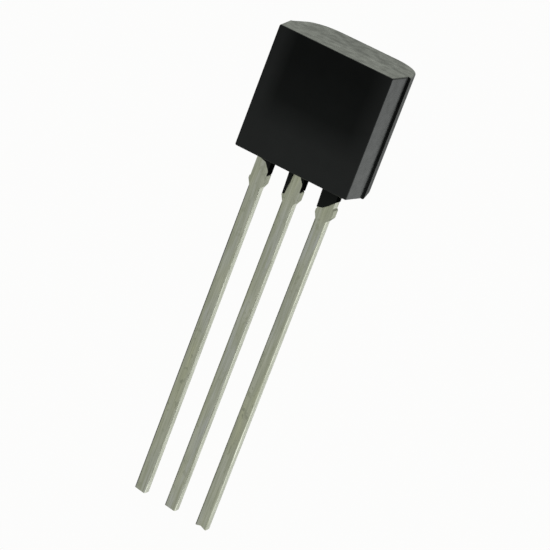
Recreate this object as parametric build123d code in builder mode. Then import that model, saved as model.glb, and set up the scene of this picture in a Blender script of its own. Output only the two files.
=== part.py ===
"""A three-legged plastic transistor: moulded black case, stamped lead frame, silicon die and bond wires.

Units are millimetres.
The case stands upright with its leads pointing down, along -Z, and its flat front facing -Y.
The origin is on the middle lead's centre line, level with the underside of the case, where a board stops it.
"""
from build123d import *
import os
from math import radians, tan

# Driving sizes of the lead frame, stamped from one strip
lead_pitch = 1.27
lead_thickness = 0.36
shank_width = 0.42
shoulder_width = 0.53
shank_edge_radius = 0.06
lead_lengths = [12.50, 12.54, 12.62]
tip_offset = [0.02, -0.02, -0.03]
tip_slant_drop = [0.05, 0.04, 0.03]
tip_nick_depth = [0.0, 0.0, 0.07]

# The dam bar between the leads is sheared off after moulding, which leaves a stub on each side
left_stub_top_drop = 0.84
right_stub_top_drop = 0.64
stub_bottom_drop = 0.96
stub_taper_height = 0.16
left_stub_proud = [0.03, 0.03, 0.02]
right_stub_proud = [0.02, 0.03, 0.05]

# Driving sizes of the moulded case, whose two mould halves meet at the rear face of the leads
case_height = 4.28
case_depth = 2.64
front_half_depth = 1.04
front_half_width = 4.46
rear_half_width = 4.51
front_half_offset = -0.045
mould_mismatch = 0.05
front_side_draft = 6.8
rear_side_draft = 13.0
end_draft = 1.0
rear_corner_radius = 1.06
edge_radius = 0.06

# Resin flash left on the shoulders: how thick it is, and how far down it reaches before it broke off
flash_cover = 0.05
left_flash_root_thickness = 0.05
left_flash_tip_thickness = 0.01
right_flash_thickness = [0.02, 0.03, 0.02]
flash_root_height = 0.12
left_flash_drop = [0.12, 0.90, 0.78]
right_flash_front_drop = [0.47, 0.36, 0.40]
right_flash_rear_drop = [0.62, 0.62, 0.34]
skirt_drop = 0.12
flash_tear = 0.10

# Inner ends of the lead frame: necks with a locking hole, wire posts and the die paddle
neck_width = 0.38
neck_bottom = 0.35
post_bottom = 0.75
post_width = 0.66
post_height = 1.05
lock_hole_radius = 0.12
lock_hole_height = 0.24
paddle_bottom = 2.10
paddle_width = 1.60
paddle_height = 1.50
paddle_corner = 0.15

# The chip, the layer that holds it to the paddle and the wires to the two posts
die_side = 0.50
die_thickness = 0.20
bond_layer = 0.03
bond_layer_margin = 0.04
pad_offset = 0.12
wire_diameter = 0.05
wire_rise = 0.20
wire_bend_radius = 0.08
ball_radius = 0.055
ball_height = 0.03
weld_inset = 0.25

# Places worked out from the sizes above
lead_centres = {1: -lead_pitch, 2: 0, 3: lead_pitch}
shoulder_edge = shoulder_width / 2
lead_front = -lead_thickness / 2
flash_front = lead_front - flash_cover
parting_y = lead_thickness / 2
front_y = parting_y - front_half_depth
back_y = front_y + case_depth
rear_half_depth = case_depth - front_half_depth
post_top = post_bottom + post_height
paddle_middle = paddle_bottom + paddle_height / 2
bond_layer_front = lead_front - bond_layer
die_front = bond_layer_front - die_thickness
parting_plane = Plane.XZ.offset(-parting_y)
case_grey = Color(0.10, 0.10, 0.10)
tin_grey = Color(0.66, 0.66, 0.60)
os.makedirs("parts", exist_ok=True)


def save(part, name, colour):
    """Label a finished piece and write it to its own file."""
    part.label = name
    part.color = colour
    export_step(part, f"parts/{name}.step")


def half_outline(number, side):
    """One side of a lead as (x, z) points from its neck down to its tip; side is -1 for left, 1 for right."""
    proud = (left_stub_proud if side < 0 else right_stub_proud)[number - 1]
    stub_top = -left_stub_top_drop if side < 0 else -right_stub_top_drop
    shoulder = side * shoulder_edge
    stub = side * (shoulder_edge + proud)
    shank = side * shank_width / 2
    neck_rise = (shoulder_width - neck_width) / 2
    return [
        (side * neck_width / 2, neck_bottom + neck_rise),
        (shoulder, neck_bottom),
        (shoulder, stub_top),
        (stub, stub_top - proud),
        (stub, -stub_bottom_drop),
        (shank, -stub_bottom_drop - stub_taper_height),
        (shank + tip_offset[number - 1], -lead_lengths[number - 1] - side * tip_slant_drop[number - 1] / 2),
    ]


def lead_outline(number, neck_top):
    """The closed outline of one lead from the top of its neck to its tip, at its own place in the row."""
    centre = lead_centres[number]
    nick_depth = tip_nick_depth[number - 1]
    nick = [(tip_offset[number - 1], nick_depth - lead_lengths[number - 1])] if nick_depth else []
    points = [(-neck_width / 2, neck_top), *half_outline(number, -1), *nick]
    points += [*reversed(half_outline(number, 1)), (neck_width / 2, neck_top)]
    return [(centre + x, z) for x, z in points]


# Outer leads, one each side: inside the case each ends in a post for a bond wire
outer_leads = {}
for number in (1, 3):
    centre = lead_centres[number]
    with BuildPart() as outer_lead:
        with BuildSketch(parting_plane):
            with BuildLine():
                Polyline(*lead_outline(number, post_bottom), close=True)
            make_face()
            with Locations((centre, post_bottom + post_height / 2)):
                Rectangle(post_width, post_height)
            with Locations((centre, post_bottom + lock_hole_height)):
                Circle(lock_hole_radius, mode=Mode.SUBTRACT)
        extrude(amount=lead_thickness)
        shank_edges = outer_lead.edges().filter_by(lambda edge: edge.length > case_height)
        fillet(shank_edges, radius=shank_edge_radius)
    save(outer_lead.part, f"lead_{number}", tin_grey)
    outer_leads[number] = outer_lead.part

# Middle lead: inside the case it widens into the paddle that carries the die
with BuildPart() as lead_2:
    with BuildSketch(parting_plane):
        with BuildLine():
            Polyline(*lead_outline(2, paddle_bottom), close=True)
        make_face()
        with Locations((0, paddle_middle)):
            RectangleRounded(paddle_width, paddle_height, paddle_corner)
    extrude(amount=lead_thickness)
    shank_edges = lead_2.edges().filter_by(lambda edge: edge.length > case_height)
    fillet(shank_edges, radius=shank_edge_radius)
save(lead_2.part, "lead_2", tin_grey)

# Thin layer of solder between the paddle and the die
with BuildPart() as die_attach:
    with BuildSketch(Plane.XZ.offset(-lead_front)):
        with Locations((0, paddle_middle)):
            Rectangle(die_side + 2 * bond_layer_margin, die_side + 2 * bond_layer_margin)
    extrude(amount=bond_layer)
save(die_attach.part, "die_attach", Color(0.78, 0.78, 0.80))

# Silicon die, square, with its pads on the front
with BuildPart() as silicon_die:
    with BuildSketch(Plane.XZ.offset(-bond_layer_front)):
        with Locations((0, paddle_middle)):
            Rectangle(die_side, die_side)
    extrude(amount=die_thickness)
save(silicon_die.part, "silicon_die", Color(0.30, 0.34, 0.42))

# Bond wires: a squashed ball on the die's pad, a low loop, and a weld on the post
bond_wires = {}
for name, side in (("bond_wire_left", -1), ("bond_wire_right", 1)):
    pad = Vector(side * pad_offset, die_front, paddle_middle)
    weld = Vector(side * lead_pitch, lead_front, post_top - weld_inset)
    loop_top = die_front - wire_rise
    with BuildPart() as bond_wire:
        with BuildLine() as loop:
            FilletPolyline(
                pad,
                (pad.X, loop_top, pad.Z),
                (weld.X, loop_top, weld.Z),
                weld,
                radius=wire_bend_radius,
            )
        with BuildSketch(Plane(origin=pad, z_dir=(0, -1, 0))):
            Circle(wire_diameter / 2)
        sweep(path=loop.wire())
        with BuildSketch(Plane(origin=pad, z_dir=(0, -1, 0))):
            Circle(ball_radius)
        extrude(amount=ball_height)
    save(bond_wire.part, name, Color(0.85, 0.66, 0.25))
    bond_wires[name] = bond_wire.part


def mould_half(plan_points, wall_y, corner_radius=None):
    """One half of the case: its plan, cut to the side view whose top and underside draft towards wall_y."""
    slope = abs(wall_y - parting_y) * tan(radians(end_draft))
    with BuildPart() as half:
        with BuildSketch(Plane.XY) as plan:
            with BuildLine():
                Polyline(*plan_points, close=True)
            make_face()
            if corner_radius:
                fillet(plan.vertices().group_by(Axis.Y)[-1], radius=corner_radius)
        extrude(amount=case_height)
        with BuildSketch(Plane.YZ):
            with BuildLine():
                Polyline(
                    (parting_y, 0),
                    (wall_y, slope),
                    (wall_y, case_height - slope),
                    (parting_y, case_height),
                    close=True,
                )
            make_face()
        extrude(amount=rear_half_width, both=True, mode=Mode.INTERSECT)
        away_from_parting = half.edges().filter_by(lambda edge: abs(edge.center().Y - parting_y) > edge_radius)
        if corner_radius:
            away_from_parting = away_from_parting.filter_by(lambda edge: abs(edge.tangent_at().Z) < 0.5)
        fillet(away_from_parting, radius=edge_radius)
    return half.part


# Front half: a flat front with sharp drafted sides, moulded over the front of the lead frame
front_left = front_half_offset - front_half_width / 2
front_right = front_half_offset + front_half_width / 2
front_draft_inset = front_half_depth * tan(radians(front_side_draft))
front_half = mould_half(
    [
        (front_left, parting_y),
        (front_right, parting_y),
        (front_right - front_draft_inset, front_y),
        (front_left + front_draft_inset, front_y),
    ],
    front_y,
)

# Rear half: it sits a little to the right of the front half, because the two mould halves don't quite match
rear_left = front_half_offset + mould_mismatch - rear_half_width / 2
rear_right = front_half_offset + mould_mismatch + rear_half_width / 2
rear_draft_inset = rear_half_depth * tan(radians(rear_side_draft))
rear_half = mould_half(
    [
        (rear_left, parting_y),
        (rear_right, parting_y),
        (rear_right - rear_draft_inset, back_y),
        (rear_left + rear_draft_inset, back_y),
    ],
    back_y,
    rear_corner_radius,
)

# Left and lower edge of the flash on each lead, as (x, z) points from the lead's own centre, seen from the front
left_flash_root = shoulder_edge + left_flash_root_thickness
left_flash_tip = shoulder_edge + left_flash_tip_thickness
right_flash_edges = [shoulder_edge + thickness for thickness in right_flash_thickness]
flash_edges = {
    1: [
        (-shoulder_edge, flash_root_height),
        (-shoulder_edge, -left_flash_drop[0]),
        (shoulder_edge / 3, -skirt_drop - flash_tear),
        (right_flash_edges[0], -right_flash_front_drop[0]),
    ],
    2: [
        (-left_flash_root, flash_root_height),
        (-left_flash_tip, -left_flash_drop[1]),
        (-shoulder_edge + flash_tear / 2, -left_flash_drop[1]),
        (-shoulder_edge / 2, -skirt_drop),
        (shoulder_edge / 2, -skirt_drop),
        (shoulder_edge * 2 / 3, -skirt_drop - flash_tear),
        (right_flash_edges[1], -right_flash_front_drop[1]),
    ],
    3: [
        (-left_flash_root, flash_root_height),
        (-left_flash_tip, -left_flash_drop[2]),
        (-shoulder_edge / 4, -left_flash_drop[2] + flash_tear / 2),
        (shoulder_edge / 3, -right_flash_front_drop[2] - 2 * flash_tear),
        (right_flash_edges[2], -right_flash_front_drop[2]),
    ],
}

# Case: one moulding round everything, with small steps at the parting line and flash round the tops of the leads
with BuildPart() as case:
    add(front_half)
    add(rear_half)
    for number, torn_edge in flash_edges.items():
        centre = lead_centres[number]
        outline = [*torn_edge, (right_flash_edges[number - 1], flash_root_height)]
        with BuildSketch(Plane.XZ.offset(-flash_front)):
            with BuildLine():
                Polyline(*[(centre + x, z) for x, z in outline], close=True)
            make_face()
        extrude(amount=flash_front - parting_y)
        with BuildSketch(Plane.YZ.offset(centre + shoulder_edge)):
            with BuildLine():
                Polyline(
                    (flash_front, flash_root_height),
                    (flash_front, -right_flash_front_drop[number - 1]),
                    (parting_y, -right_flash_rear_drop[number - 1]),
                    (parting_y, flash_root_height),
                    close=True,
                )
            make_face()
        extrude(amount=right_flash_thickness[number - 1])
    for inner in (*outer_leads.values(), lead_2.part, die_attach.part, silicon_die.part, *bond_wires.values()):
        add(inner, mode=Mode.SUBTRACT)
save(case.part, "case", case_grey)
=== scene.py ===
from math import cos, radians, sin

import bpy
from mathutils import Matrix, Vector


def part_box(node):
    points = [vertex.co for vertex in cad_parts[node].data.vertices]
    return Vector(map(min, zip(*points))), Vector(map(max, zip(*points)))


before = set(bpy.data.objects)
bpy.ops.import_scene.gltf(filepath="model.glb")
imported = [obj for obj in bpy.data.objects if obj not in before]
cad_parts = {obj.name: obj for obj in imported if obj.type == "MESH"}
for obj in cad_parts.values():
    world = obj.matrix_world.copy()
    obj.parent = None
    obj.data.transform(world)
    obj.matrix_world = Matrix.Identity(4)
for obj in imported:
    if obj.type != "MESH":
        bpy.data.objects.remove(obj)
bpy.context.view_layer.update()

# Camera.
# It looks a little down on the flat front, from the part's right.
# It is rolled to one side, so the part hangs in the picture with its leads down to the left.
view_azimuth = radians(19.93)
view_elevation = radians(17.86)
lean = radians(21.10)
view_distance = 0.0951
aim = Vector((0.000385, 0.00014, -0.00362))
frame_pixels = 550
focal_pixels = 2921
film_width = 36
nearest_seen = 0.001
farthest_seen = 20

towards_camera = Vector((
    sin(view_azimuth) * cos(view_elevation),
    -cos(view_azimuth) * cos(view_elevation),
    sin(view_elevation),
))
level_right = Vector((cos(view_azimuth), sin(view_azimuth), 0))
level_up = towards_camera.cross(level_right)
picture_right = level_right * cos(lean) + level_up * sin(lean)
picture_up = level_up * cos(lean) - level_right * sin(lean)
turn = Matrix((picture_right, picture_up, towards_camera)).transposed().to_4x4()

camera_data = bpy.data.cameras.new("photo_camera")
camera_data.sensor_width = film_width
camera_data.lens = film_width * focal_pixels / frame_pixels
camera_data.clip_start = nearest_seen
camera_data.clip_end = farthest_seen
camera = bpy.data.objects.new("photo_camera", camera_data)
camera.matrix_world = Matrix.Translation(aim + towards_camera * view_distance) @ turn
scene = bpy.context.scene
scene.collection.objects.link(camera)
scene.camera = camera
scene.view_settings.view_transform = "Standard"

# Floor.
# A pale, evenly lit table well below the lead tips, so that no shadow reaches the picture.
# It glows by itself and is left out of the reflections, which come from the studio round the part.
floor_height = -0.5
floor_reach = 8.0
paper_glow = 0.975
paper_blue = 0.995
paper_colour = (paper_glow, paper_glow, paper_glow * paper_blue, 1)

floor_corners = [
    (x * floor_reach, y * floor_reach, floor_height)
    for x, y in ((-1, -1), (1, -1), (1, 1), (-1, 1))
]
floor_mesh = bpy.data.meshes.new("floor")
floor_mesh.from_pydata(floor_corners, [], [range(4)])
floor = bpy.data.objects.new("floor", floor_mesh)
scene.collection.objects.link(floor)
floor.visible_diffuse = False
floor.visible_glossy = False
floor.visible_shadow = False

pale_table = bpy.data.materials.new("pale_table")
pale_table.use_nodes = True
table_shader = pale_table.node_tree.nodes["Principled BSDF"]
table_shader.inputs["Base Color"].default_value = (0, 0, 0, 1)
table_shader.inputs["Specular IOR Level"].default_value = 0
table_shader.inputs["Emission Color"].default_value = paper_colour
table_shader.inputs["Emission Strength"].default_value = 1
floor_mesh.materials.append(pale_table)

# Studio light.
# The room is dim in front of the part and darker behind it and to its left, so the flat front stays black.
# Two pale walls, high behind and to the right, make the top and the right side shine.
room_front = 0.35
room_back = 0.10
room_left = 0.22
top_glow = 0.93
side_glow = 1.27
room_tint = (0.97, 1, 0.98, 1)
top_tint = (0.95, 1, 0.88, 1)
front_direction = Vector((0, -1, 0))
top_direction = Vector((-0.30, 0.80, 0.52)).normalized()
side_direction = Vector((0.80, 0.52, -0.30)).normalized()
left_direction = Vector((-1, 0.1, 0)).normalized()
front_spread = (-0.7, 0.5)
top_spread = (0.55, 0.95)
side_spread = (0.65, 0.98)
left_spread = (0.35, 0.9)
right_softbox_place = (0.5, 0.22, 0.06)
right_softbox_size = (0.3, 0.3)
right_softbox_watts = 0.7
top_softbox_place = (0.02, 0.15, 0.5)
top_softbox_size = (0.4, 0.3)
top_softbox_watts = 0.5


def feed(tree, socket, value):
    """Give a socket a fixed value, or link another node's output to it."""
    if isinstance(value, bpy.types.NodeSocket):
        tree.links.new(value, socket)
    else:
        socket.default_value = value


def combine(tree, operation, first, second):
    """Two numbers put together; each may be fixed or come from a node."""
    joined = tree.nodes.new("ShaderNodeMath")
    joined.operation = operation
    feed(tree, joined.inputs[0], first)
    feed(tree, joined.inputs[1], second)
    return joined.outputs["Value"]


def rescale(tree, value, start, full, low=0, high=1, rise="LINEAR"):
    """A number that goes from low to high as another goes from start to full."""
    ramp = tree.nodes.new("ShaderNodeMapRange")
    ramp.interpolation_type = rise
    feed(tree, ramp.inputs["Value"], value)
    feed(tree, ramp.inputs["From Min"], start)
    feed(tree, ramp.inputs["From Max"], full)
    feed(tree, ramp.inputs["To Min"], low)
    feed(tree, ramp.inputs["To Max"], high)
    return ramp.outputs["Result"]


def blend(tree, factor, first, second, data_type, socket_type):
    """A Mix node for one type of value, fed with two values of that type."""
    mix = tree.nodes.new("ShaderNodeMix")
    mix.data_type = data_type
    feed(tree, mix.inputs["Factor"], factor)
    for name, value in (("A", first), ("B", second)):
        socket = next(s for s in mix.inputs if s.name == name and s.type == socket_type)
        feed(tree, socket, value)
    return next(s for s in mix.outputs if s.type == socket_type)


def blend_colours(tree, factor, first, second):
    """A colour between two others; each may be fixed or come from a node."""
    return blend(tree, factor, first, second, "RGBA", "RGBA")


def blend_values(tree, factor, first, second):
    """A number between two others; each may be fixed or come from a node."""
    return blend(tree, factor, first, second, "FLOAT", "VALUE")


room = bpy.data.worlds.new("studio")
room.use_nodes = True
room_tree = room.node_tree
background = room_tree.nodes["Background"]
outlook = room_tree.nodes.new("ShaderNodeTexCoord")


def room_lobe(direction, spread, dark, bright):
    """Brightness that rises smoothly from dark to bright as a ray turns towards direction."""
    along = room_tree.nodes.new("ShaderNodeVectorMath")
    along.operation = "DOT_PRODUCT"
    feed(room_tree, along.inputs[0], outlook.outputs["Generated"])
    feed(room_tree, along.inputs[1], direction)
    return rescale(room_tree, along.outputs["Value"], *spread, dark, bright, "SMOOTHSTEP")


front_lobe = room_lobe(front_direction, front_spread, room_back, room_front)
top_share = room_lobe(top_direction, top_spread, 0, 1)
top_lobe = room_lobe(top_direction, top_spread, 0, top_glow)
side_lobe = room_lobe(side_direction, side_spread, 0, side_glow)
left_lobe = room_lobe(left_direction, left_spread, 1, room_left)
walls = combine(room_tree, "ADD", top_lobe, side_lobe)
undimmed = combine(room_tree, "ADD", front_lobe, walls)
room_light = combine(room_tree, "MULTIPLY", undimmed, left_lobe)
feed(room_tree, background.inputs["Color"], blend_colours(room_tree, top_share, room_tint, top_tint))
feed(room_tree, background.inputs["Strength"], room_light)

# The camera itself sees the room as pale as the table, like the paper behind a product picture.
backdrop = room_tree.nodes.new("ShaderNodeBackground")
backdrop.inputs["Color"].default_value = paper_colour
ray = room_tree.nodes.new("ShaderNodeLightPath")
seen = room_tree.nodes.new("ShaderNodeMixShader")
feed(room_tree, seen.inputs[0], ray.outputs["Is Camera Ray"])
feed(room_tree, seen.inputs[1], background.outputs["Background"])
feed(room_tree, seen.inputs[2], backdrop.outputs["Background"])
feed(room_tree, room_tree.nodes["World Output"].inputs["Surface"], seen.outputs["Shader"])
scene.world = room


def add_softbox(name, place, size, watts):
    """A rectangular light that faces the part."""
    light = bpy.data.lights.new(name, "AREA")
    light.shape = "RECTANGLE"
    light.size, light.size_y = size
    light.energy = watts
    lamp = bpy.data.objects.new(name, light)
    lamp.location = place
    lamp.rotation_euler = (-Vector(place)).to_track_quat("-Z", "Y").to_euler()
    scene.collection.objects.link(lamp)


add_softbox("right_softbox", right_softbox_place, right_softbox_size, right_softbox_watts)
add_softbox("top_softbox", top_softbox_place, top_softbox_size, top_softbox_watts)

# Moulded case.
# Black filled epoxy, moulded in one shot round the lead frame between two steel mould halves.
# The front half left its mould smooth, the rear half coarser, and flash stays on the leads' shoulders.
resin_colour = (0.001, 0.0015, 0.0015, 1)
resin_pale = (0.017, 0.0185, 0.018, 1)
resin_sheen = (0.84, 0.86, 0.85, 1)
resin_ior = 1.48
resin_specular = 0.5
mottle_size = 0.0005
mottle_strength = 0.12
paler_below_height = (0.0036, 0.0004)
paler_below_strength = 0.8
sheen_patch_size = 0.0003
smooth_roughness = (0.21, 0.37)
coarse_roughness = (0.27, 0.43)
grain_size = 0.00005
grain_depth = 0.000002
smooth_grain = 0.6
coarse_grain = 1.0
ripple_size = 0.00025
ripple_depth = 0.000003
parting_line = (0.00017, 0.00019)
# Painted shade: a dimmer reflection tint for a patch over the upper middle of the case.
shaded_reflection_tint = (0.32, 0.33, 0.32, 1)
shaded_reflection_height = (0.0011, 0.0021)
shaded_reflection_left = (-0.0019, -0.0014)
shaded_reflection_right = (0.0022, 0.0014)
flash_colour = (0.030, 0.032, 0.030, 1)
# Painted shade: the flash's sides and back, turned away from the front, get this darker colour.
flash_side_shade_colour = (0.002, 0.0025, 0.002, 1)
flash_roughness = 0.6
flash_height = (0, -0.00003)
flash_side_shade_turn = (-0.8, -0.4)
usual_noise = (0.3, 0.7)
join_distance = 1e-6


def start_material(name):
    """A new material with its node tree and its main shader."""
    made = bpy.data.materials.new(name)
    made.use_nodes = True
    return made, made.node_tree, made.node_tree.nodes["Principled BSDF"]


def make_speckle_group():
    """Node group shared by all finishes: stretched noise of one grain size, between two values."""
    tree = bpy.data.node_groups.new("speckle", "ShaderNodeTree")
    for name in ("Grain", "Detail", "Low", "High"):
        tree.interface.new_socket(name, in_out="INPUT", socket_type="NodeSocketFloat")
    tree.interface.new_socket("Stretch", in_out="INPUT", socket_type="NodeSocketVector")
    tree.interface.new_socket("Value", in_out="OUTPUT", socket_type="NodeSocketFloat")
    given = tree.nodes.new("NodeGroupInput")
    result = tree.nodes.new("NodeGroupOutput")
    where = tree.nodes.new("ShaderNodeTexCoord")
    stretched = tree.nodes.new("ShaderNodeVectorMath")
    stretched.operation = "MULTIPLY"
    feed(tree, stretched.inputs[0], where.outputs["Object"])
    feed(tree, stretched.inputs[1], given.outputs["Stretch"])
    noise = tree.nodes.new("ShaderNodeTexNoise")
    feed(tree, noise.inputs["Vector"], stretched.outputs["Vector"])
    feed(tree, noise.inputs["Scale"], combine(tree, "DIVIDE", 1, given.outputs["Grain"]))
    feed(tree, noise.inputs["Detail"], given.outputs["Detail"])
    spread = rescale(tree, noise.outputs["Fac"], *usual_noise, given.outputs["Low"], given.outputs["High"])
    feed(tree, result.inputs["Value"], spread)
    return tree


speckle_group = make_speckle_group()


def add_speckle(tree, grain, low=0, high=1, stretch=(1, 1, 1), detail=2):
    """Place the shared speckle in a material and give back its output."""
    speckle = tree.nodes.new("ShaderNodeGroup")
    speckle.node_tree = speckle_group
    speckle.inputs["Grain"].default_value = grain
    speckle.inputs["Stretch"].default_value = stretch
    speckle.inputs["Detail"].default_value = detail
    speckle.inputs["Low"].default_value = low
    speckle.inputs["High"].default_value = high
    return speckle.outputs["Value"]


def add_bump(tree, height, depth):
    """A bump of a real depth in metres, driven by a height between 0 and 1."""
    bump = tree.nodes.new("ShaderNodeBump")
    bump.inputs["Distance"].default_value = depth
    bump.inputs["Strength"].default_value = 1
    feed(tree, bump.inputs["Height"], height)
    return bump


def take_axis(tree, source, axis):
    """One axis of an object's own coordinates or normals."""
    where = tree.nodes.new("ShaderNodeTexCoord")
    split = tree.nodes.new("ShaderNodeSeparateXYZ")
    feed(tree, split.inputs["Vector"], where.outputs[source])
    return split.outputs[axis]


def ramp_along(tree, axis, start, full):
    """A mask that goes from 0 to 1 between two places along one of the part's axes."""
    return rescale(tree, take_axis(tree, "Object", axis), start, full)


def turned(tree, axis, start, full):
    """A mask that goes from 0 to 1 as a surface turns along one of the part's axes."""
    return rescale(tree, take_axis(tree, "Normal", axis), start, full)


def turned_either_way(tree, axis, start, full):
    """The same mask for both directions of the axis."""
    size = tree.nodes.new("ShaderNodeMath")
    size.operation = "ABSOLUTE"
    feed(tree, size.inputs[0], take_axis(tree, "Normal", axis))
    return rescale(tree, size.outputs["Value"], start, full)


resin, tree, shader = start_material("resin")
is_rear = ramp_along(tree, "Y", *parting_line)
is_flash = ramp_along(tree, "Z", *flash_height)

mottle = add_speckle(tree, mottle_size, high=mottle_strength, detail=4)
# The resin is made paler towards the bottom of the case.
paler_below = combine(tree, "MULTIPLY", ramp_along(tree, "Z", *paler_below_height), paler_below_strength)
plain_resin = blend_colours(tree, combine(tree, "ADD", mottle, paler_below), resin_colour, resin_pale)
# The flash is painted darker on its sides and back, which face away from the front, as shade.
flash_with_side_shade = blend_colours(tree, turned(tree, "Y", *flash_side_shade_turn), flash_colour, flash_side_shade_colour)
feed(tree, shader.inputs["Base Color"], blend_colours(tree, is_flash, plain_resin, flash_with_side_shade))

smooth_half = add_speckle(tree, sheen_patch_size, *smooth_roughness, detail=4)
coarse_half = add_speckle(tree, sheen_patch_size, *coarse_roughness, detail=4)
moulded = blend_values(tree, is_rear, smooth_half, coarse_half)
feed(tree, shader.inputs["Roughness"], blend_values(tree, is_flash, moulded, flash_roughness))

# The reflection is painted darker over the upper middle of the case, as shade on the flat front.
shaded_reflection = ramp_along(tree, "Z", *shaded_reflection_height)
shaded_reflection = combine(tree, "MULTIPLY", shaded_reflection, ramp_along(tree, "X", *shaded_reflection_left))
shaded_reflection = combine(tree, "MULTIPLY", shaded_reflection, ramp_along(tree, "X", *shaded_reflection_right))
feed(tree, shader.inputs["Specular Tint"], blend_colours(tree, shaded_reflection, resin_sheen, shaded_reflection_tint))
feed(tree, shader.inputs["Specular IOR Level"], blend_values(tree, is_flash, resin_specular, 0))
shader.inputs["IOR"].default_value = resin_ior

satin = add_bump(tree, add_speckle(tree, grain_size, detail=3), grain_depth)
feed(tree, satin.inputs["Strength"], blend_values(tree, is_rear, smooth_grain, coarse_grain))
ripple = add_bump(tree, add_speckle(tree, ripple_size), ripple_depth)
feed(tree, ripple.inputs["Normal"], satin.outputs["Normal"])
feed(tree, shader.inputs["Normal"], ripple.outputs["Normal"])


def make_smoothing_tree():
    """Geometry nodes that join a solid's loose triangles and keep only its real edges sharp."""
    tree = bpy.data.node_groups.new("smooth_solid", "GeometryNodeTree")
    tree.interface.new_socket("Geometry", in_out="INPUT", socket_type="NodeSocketGeometry")
    tree.interface.new_socket("Join Distance", in_out="INPUT", socket_type="NodeSocketFloat")
    tree.interface.new_socket("Sharp Angle", in_out="INPUT", socket_type="NodeSocketFloat")
    tree.interface.new_socket("Geometry", in_out="OUTPUT", socket_type="NodeSocketGeometry")
    given = tree.nodes.new("NodeGroupInput")
    result = tree.nodes.new("NodeGroupOutput")
    joined = tree.nodes.new("GeometryNodeMergeByDistance")
    feed(tree, joined.inputs["Geometry"], given.outputs["Geometry"])
    feed(tree, joined.inputs["Distance"], given.outputs["Join Distance"])
    soft = tree.nodes.new("GeometryNodeSetShadeSmooth")
    feed(tree, soft.inputs["Geometry"], joined.outputs["Geometry"])
    angle = tree.nodes.new("GeometryNodeInputMeshEdgeAngle")
    is_sharp = tree.nodes.new("FunctionNodeCompare")
    feed(tree, is_sharp.inputs[0], angle.outputs["Unsigned Angle"])
    feed(tree, is_sharp.inputs[1], given.outputs["Sharp Angle"])
    crease = tree.nodes.new("GeometryNodeSetShadeSmooth")
    crease.domain = "EDGE"
    feed(tree, crease.inputs["Shade Smooth"], False)
    feed(tree, crease.inputs["Geometry"], soft.outputs["Geometry"])
    feed(tree, crease.inputs["Selection"], is_sharp.outputs["Result"])
    feed(tree, result.inputs["Geometry"], crease.outputs["Geometry"])
    return tree


smoothing_tree = make_smoothing_tree()
smoothing_sockets = [s for s in smoothing_tree.interface.items_tree if s.in_out == "INPUT"]
smoothing_inputs = {s.name: s.identifier for s in smoothing_sockets}


def finish_solid(name, material, sharp_degrees):
    """Give a solid of the frame its material and smooth shading."""
    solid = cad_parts[name]
    solid.data.materials.clear()
    solid.data.materials.append(material)
    smoothing = solid.modifiers.new("smooth_solid", "NODES")
    smoothing.node_group = smoothing_tree
    smoothing[smoothing_inputs["Join Distance"]] = join_distance
    smoothing[smoothing_inputs["Sharp Angle"]] = radians(sharp_degrees)
    weighted = solid.modifiers.new("flat_faces_lead", "WEIGHTED_NORMAL")
    weighted.keep_sharp = True


finish_solid("case", resin, sharp_degrees=25)

# Leads.
# Stamped from one strip of copper alloy, moulded in, sheared free of their dam bar and dipped in tin.
# The tin has dulled to grey and olive with fine rolling streaks, and the cut tips are bare copper.
tin_grey = (0.97, 0.98, 0.96, 1)
tin_olive = (0.97, 0.98, 0.68, 1)
tin_streak = (0.74, 0.76, 0.57, 1)
tin_spot = (0.62, 0.64, 0.48, 1)
# Painted shade: the darker tin of the lead sides and backs; the next colour serves both these shaded
# streaks and the sheared stub ends.
tin_side_shade = (0.70, 0.71, 0.61, 1)
sheared_and_side_shade_tin = (0.36, 0.37, 0.29, 1)
bare_copper = (0.62, 0.42, 0.28, 1)
# Partly resin film and partly painted shadow: the dark colour beside the flash on the left and middle
# leads.
smear_and_shadow_colour = (0.004, 0.0045, 0.004, 1)
patch_size = 0.0004
patch_stretch = (1, 1, 0.15)
streak_width = 0.00004
streak_depth = 0.000003
streak_stretch = (1, 1, 0.04)
spot_size = 0.00012
spot_stretch = (1, 1, 0.6)
spot_cover = 0.78
dull_width = 0.00008
tin_roughness = (0.30, 0.46)
sheared_roughness = 0.55
tin_specular = 0.5
side_shade_turn = (-0.85, -0.45)
stub_top = (-0.00060, -0.00065)
stub_bottom = (-0.00112, -0.00107)
stub_turn = (0.6, 0.4)
cut_band = 0.000125
cut_edge = 0.00005
cut_turn = (0.8, 0.95)
smear_and_shadow_right = (0.0009, 0.0008)
smear_and_shadow_bottom = (-0.00066, -0.00064)
smear_and_shadow_turn = (0.5, 0.7)

lead_names = ("lead_1", "lead_2", "lead_3")
shortest_tip = max(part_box(name)[0].z for name in lead_names)
cut_top = shortest_tip + cut_band

tin, tree, shader = start_material("tinned_metal")
patches = add_speckle(tree, patch_size, stretch=patch_stretch, detail=3)
streaks = add_speckle(tree, streak_width, stretch=streak_stretch, detail=3)
spots = rescale(tree, add_speckle(tree, spot_size, stretch=spot_stretch, detail=1), spot_cover, 1)
plated = blend_colours(tree, patches, tin_grey, tin_olive)
plated = blend_colours(tree, streaks, plated, tin_streak)
plated = blend_colours(tree, combine(tree, "MULTIPLY", spots, patches), plated, tin_spot)

# The backs and sides are painted darker than the fronts as shade; their darker streaks use the same dull
# colour as the sheared stub ends.
side_shaded_tin = blend_colours(tree, streaks, tin_side_shade, sheared_and_side_shade_tin)
plated = blend_colours(tree, turned(tree, "Y", *side_shade_turn), plated, side_shaded_tin)

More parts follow.
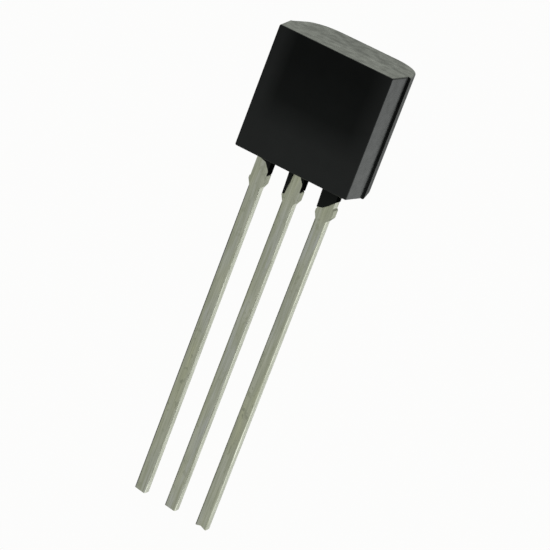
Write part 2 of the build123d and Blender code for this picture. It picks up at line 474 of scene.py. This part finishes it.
# The ends of the stubs are rough where the dam bar was sheared off.
stub_band = combine(tree, "MULTIPLY", ramp_along(tree, "Z", *stub_top), ramp_along(tree, "Z", *stub_bottom))
sheared = combine(tree, "MULTIPLY", stub_band, turned_either_way(tree, "Y", *stub_turn))
plated = blend_colours(tree, sheared, plated, sheared_and_side_shade_tin)
dull = add_speckle(tree, dull_width, *tin_roughness, stretch=streak_stretch)
feed(tree, shader.inputs["Roughness"], blend_values(tree, sheared, dull, sheared_roughness))

# A dark, unshining film beside the flash, on the right sides of the left and the middle lead, is partly
# resin left by the flash and partly painted shadow, where the next lead to the right shades them.
smear_and_shadow = combine(tree, "MULTIPLY", turned(tree, "X", *smear_and_shadow_turn), ramp_along(tree, "X", *smear_and_shadow_right))
smear_and_shadow = combine(tree, "MULTIPLY", smear_and_shadow, ramp_along(tree, "Z", *smear_and_shadow_bottom))
plated = blend_colours(tree, smear_and_shadow, plated, smear_and_shadow_colour)
feed(tree, shader.inputs["Metallic"], blend_values(tree, smear_and_shadow, 1, 0))
feed(tree, shader.inputs["Specular IOR Level"], blend_values(tree, smear_and_shadow, tin_specular, 0))

at_tips = ramp_along(tree, "Z", cut_top, cut_top - cut_edge)
cut = combine(tree, "MULTIPLY", at_tips, turned_either_way(tree, "Z", *cut_turn))
feed(tree, shader.inputs["Base Color"], blend_colours(tree, cut, plated, bare_copper))

rolling_marks = add_speckle(tree, streak_width, stretch=streak_stretch, detail=3)
feed(tree, shader.inputs["Normal"], add_bump(tree, rolling_marks, streak_depth).outputs["Normal"])

for name in lead_names:
    finish_solid(name, tin, sharp_degrees=30)

# Die.
# A square of silicon, sawn from a polished wafer and soldered to the paddle of the middle lead.
# It is sealed in the case and can't be seen.
silicon_dark = (0.16, 0.18, 0.23, 1)
silicon_light = (0.24, 0.26, 0.32, 1)
silicon_grain = 0.00003
silicon_gloss_grain = 0.00002
silicon_roughness = (0.10, 0.25)
silicon_metallic = 0.6


def make_fine_finish(name, dark, light, grain, gloss_grain, roughness, metallic=1):
    """A finish of two close colours in a fine grain, with a roughness that varies as finely."""
    finish, tree, shader = start_material(name)
    feed(tree, shader.inputs["Base Color"], blend_colours(tree, add_speckle(tree, grain), dark, light))
    feed(tree, shader.inputs["Roughness"], add_speckle(tree, gloss_grain, *roughness))
    shader.inputs["Metallic"].default_value = metallic
    return finish


silicon = make_fine_finish(
    "silicon", silicon_dark, silicon_light,
    silicon_grain, silicon_gloss_grain, silicon_roughness, silicon_metallic,
)
finish_solid("silicon_die", silicon, sharp_degrees=30)

# Solder under the die.
# A thin even layer between the die and the paddle, melted in place and dull where it has flowed out.
# It is sealed in the case too.
solder_dark = (0.52, 0.52, 0.54, 1)
solder_light = (0.68, 0.68, 0.70, 1)
solder_grain = 0.00006
solder_gloss_grain = 0.00004
solder_roughness = (0.35, 0.55)

solder = make_fine_finish(
    "solder", solder_dark, solder_light,
    solder_grain, solder_gloss_grain, solder_roughness,
)
finish_solid("die_attach", solder, sharp_degrees=30)

# Bond wires.
# Fine drawn gold, ball-bonded to the die and stitched to the posts of the two outer leads.
# They are sealed in the case too.
gold_dark = (0.86, 0.62, 0.24, 1)
gold_light = (0.95, 0.74, 0.34, 1)
gold_grain = 0.00001
gold_gloss_grain = 0.00001
gold_roughness = (0.15, 0.30)

gold = make_fine_finish(
    "bond_wire", gold_dark, gold_light,
    gold_grain, gold_gloss_grain, gold_roughness,
)
for name in ("bond_wire_left", "bond_wire_right"):
    finish_solid(name, gold, sharp_degrees=40)
